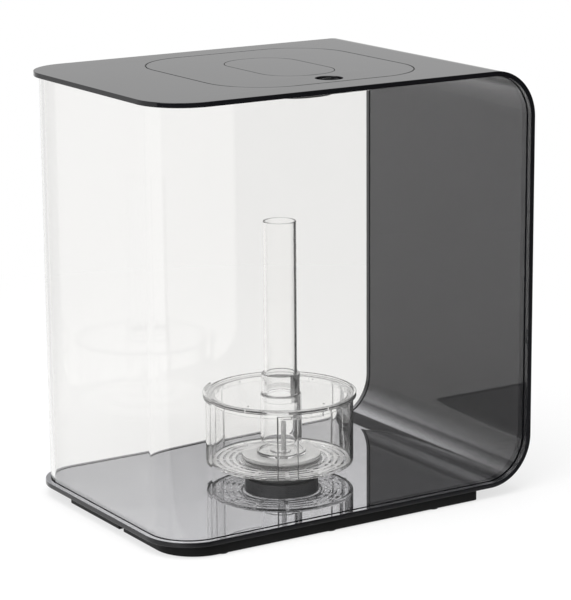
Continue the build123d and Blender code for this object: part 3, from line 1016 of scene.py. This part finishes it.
def draw_stage():
    """A round white desk that fades into the white background."""
    bm = bmesh.new()
    bmesh.ops.create_circle(bm, cap_ends=True, segments=96, radius=12.0)
    obj = from_bmesh("desk", bm)
    for face in obj.data.polygons:
        face.use_smooth = False
    mat, tree, out = start_material("desk_white")
    shader = tree.nodes.new("ShaderNodeBsdfPrincipled")
    shader.inputs["Base Color"].default_value = (0.9, 0.9, 0.9, 1)
    shader.inputs["Roughness"].default_value = 0.85
    shader.inputs["Specular IOR Level"].default_value = 0.0
    white = tree.nodes.new("ShaderNodeEmission")
    where = tree.nodes.new("ShaderNodeTexCoord")
    away = tree.nodes.new("ShaderNodeVectorMath")
    away.operation = "LENGTH"
    tree.links.new(where.outputs["Object"], away.inputs[0])
    share = ranged(tree, away.outputs["Value"], 0.68, 1.0, 0.15, 0.75)
    share = maths(tree, "MULTIPLY", share, seen_by_eye(tree))
    bright = mixed(tree, share, shader.outputs["BSDF"], white.outputs["Emission"])
    dark = tree.nodes.new("ShaderNodeBsdfDiffuse")
    dark.inputs["Color"].default_value = (0.09, 0.09, 0.09, 1)
    surface = mixed(tree, dim_in_mirror(tree, where), bright, dark.outputs["BSDF"])
    tree.links.new(surface, out.inputs["Surface"])
    obj.data.materials.append(mat)


def dim_in_mirror(tree, where):
    """How dim the desk is, in front of the tank and to its left, to rays that the tank mirrors."""
    at = parts(tree, where.outputs["Object"])
    fade = 30 * mm
    edge = shell_low.y - 2 * mm
    ahead = ranged(tree, at["Y"], 1.0, 0.0, edge - fade, edge)
    beside = ranged(tree, at["X"], 0.3, 0.0, shell_low.x - fade, shell_low.x)
    path = tree.nodes.new("ShaderNodeLightPath")
    outside = maths(tree, "LESS_THAN", path.outputs["Transmission Depth"], 2.5)
    inner_side = ranged(tree, path.outputs["Transmission Depth"], 1.0, 0.6, 0.4, 0.6)
    outside = maths(tree, "MULTIPLY", outside, inner_side)
    mirrored = maths(tree, "MULTIPLY", outside, path.outputs["Is Glossy Ray"])
    return maths(tree, "MULTIPLY", maths(tree, "MAXIMUM", ahead, beside), mirrored)


def seen_by_eye(tree):
    """1 for rays that show the background directly, in a mirror or through glass."""
    path = tree.nodes.new("ShaderNodeLightPath")
    total = maths(tree, "MAXIMUM", path.outputs["Is Camera Ray"], path.outputs["Is Glossy Ray"])
    return maths(tree, "MAXIMUM", total, path.outputs["Is Transmission Ray"])


def past_cards(tree, at, path):
    """White, less a dark card high on the right and a dim one high on the left that inner faces mirror."""
    right = ranged(tree, at["X"], 0.0, 0.95, 0.02, 0.07)
    left = ranged(tree, at["X"], 0.6, 0.0, -0.32, -0.08)
    left = maths(tree, "MULTIPLY", left, ranged(tree, at["X"], 0.0, 1.0, -0.41, -0.35))
    high = ranged(tree, at["Z"], 0.0, 1.0, 0.36, 0.42)
    cards = maths(tree, "MULTIPLY", maths(tree, "MAXIMUM", right, left), high)
    mirrored = maths(tree, "GREATER_THAN", path.outputs["Glossy Depth"], 0.5)
    return maths(tree, "SUBTRACT", 1.0, maths(tree, "MULTIPLY", cards, mirrored))


def make_world():
    """White background. Polished faces that look towards the front mirror a dim room instead."""
    world = bpy.data.worlds.new("studio")
    bpy.context.scene.world = world
    world.use_nodes = True
    tree = world.node_tree
    tree.nodes.clear()
    out = tree.nodes.new("ShaderNodeOutputWorld")
    path = tree.nodes.new("ShaderNodeLightPath")
    direct = maths(tree, "MAXIMUM", path.outputs["Is Camera Ray"], path.outputs["Is Transmission Ray"])
    where = tree.nodes.new("ShaderNodeTexCoord")
    at = parts(tree, where.outputs["Generated"])
    towards_back = ranged(tree, at["Y"], 0.2, 0.86, -0.55, 0.1)
    room = tree.nodes.new("ShaderNodeBackground")
    tree.links.new(towards_back, room.inputs["Strength"])
    plain = tree.nodes.new("ShaderNodeBackground")
    plain.inputs["Strength"].default_value = 0.75
    white = tree.nodes.new("ShaderNodeBackground")
    white.inputs["Color"].default_value = (1, 1, 1, 1)
    tree.links.new(past_cards(tree, at, path), white.inputs["Strength"])
    glossy = path.outputs["Is Glossy Ray"]
    unseen = mixed(tree, glossy, plain.outputs["Background"], room.outputs["Background"])
    tree.links.new(mixed(tree, direct, unseen, white.outputs["Background"]), out.inputs["Surface"])


def add_lamp(name, place_at, aim, size, watts):
    """A soft square lamp that points at a place. It isn't seen through clear plastic."""
    data = bpy.data.lights.new(name, "AREA")
    data.shape = "SQUARE"
    data.size = size
    data.energy = watts
    lamp = as_object(name, data)
    lamp.location = place_at
    lamp.rotation_mode = "QUATERNION"
    lamp.rotation_quaternion = (Vector(place_at) - Vector(aim)).to_track_quat("Z", "Y")
    lamp.visible_transmission = False


def add_lamps():
    """Soft light from above and from the front left."""
    middle = (0, 0, 0.12)
    add_lamp("overhead", (-0.2, -0.1, 1.6), middle, 1.4, 22.0)
    add_lamp("left", (-1.5, -0.7, 1.0), middle, 1.0, 12.0)


def add_camera():
    """The photograph's viewpoint, with its angles in radians."""
    eye = (-0.95788, -1.53527, 0.57379)
    yaw = 0.56124
    pitch = 0.23434
    roll = -0.00799
    focal_px = 2590.545
    long_side_px = 600
    forward = Vector((math.sin(yaw) * math.cos(pitch), math.cos(yaw) * math.cos(pitch), -math.sin(pitch)))
    level = Vector((math.cos(yaw), -math.sin(yaw), 0))
    above = level.cross(forward)
    right = math.cos(roll) * level + math.sin(roll) * above
    up = math.cos(roll) * above - math.sin(roll) * level
    data = bpy.data.cameras.new("camera")
    data.sensor_width = 36.0
    data.lens = focal_px / long_side_px * data.sensor_width
    data.clip_start = 0.05
    data.clip_end = 60.0
    camera = as_object("camera", data)
    turn = Matrix((right, up, -forward)).transposed().to_4x4()
    camera.matrix_world = Matrix.Translation(eye) @ turn
    bpy.context.scene.camera = camera


def build():
    """Draws every piece, then the stage, the lamps and the camera."""
    gloss_black = black_acrylic("black_acrylic", False)
    shell_black = black_acrylic("black_acrylic_shell", True)
    clear_sheet = clear_plastic("clear_acrylic", (0.972, 0.969, 0.962), (0.0, 0.004), 0.0, 0.0)
    moulded_tint = (0.994, 0.993, 0.99)
    clear_moulded = clear_plastic("clear_moulded", moulded_tint, (0.0, 0.01), 0.00001, 0.05)
    clear_drum = clear_plastic("clear_drum", moulded_tint, (0.0, 0.01), 0.00001, 0.42, True)
    # Dark tint for the sides of the drum's rails: painted shade in place of the dark lines along clear edges
    rail_shade_tint = clear_plastic("clear_rail_painted_shade", grey(0.2), (0.0, 0.01), 0.00001, 0.0)
    draw_shell(shell_black)
    draw_wall(clear_sheet, bond_black())
    draw_lid(gloss_black)
    base = plain_material(
        "base_black", grey(0.004), grey(0.007), (0.28, 0.4), 30.0, 2200.0, 0.00001, ior=1.2
    )
    port = plain_material(
        "port_grey", grey(0.03), grey(0.05), (0.4, 0.6), 60.0, 1100.0, 0.00006, edge=grey(0.12)
    )
    draw_base(base)
    draw_port(port)
    draw_drum(clear_drum, rail_shade_tint)
    draw_seat(clear_moulded)
    draw_stone(plain_material("air_stone", grey(0.3), grey(0.42), (0.8, 0.95), 250.0, 1500.0, 0.0002))
    draw_cover(clear_moulded)
    draw_tubes(clear_moulded)
    dress_packed(clear_sheet, port)
    draw_stage()
    make_world()
    add_lamps()
    add_camera()
    bpy.context.scene.view_settings.view_transform = "Standard"


build()
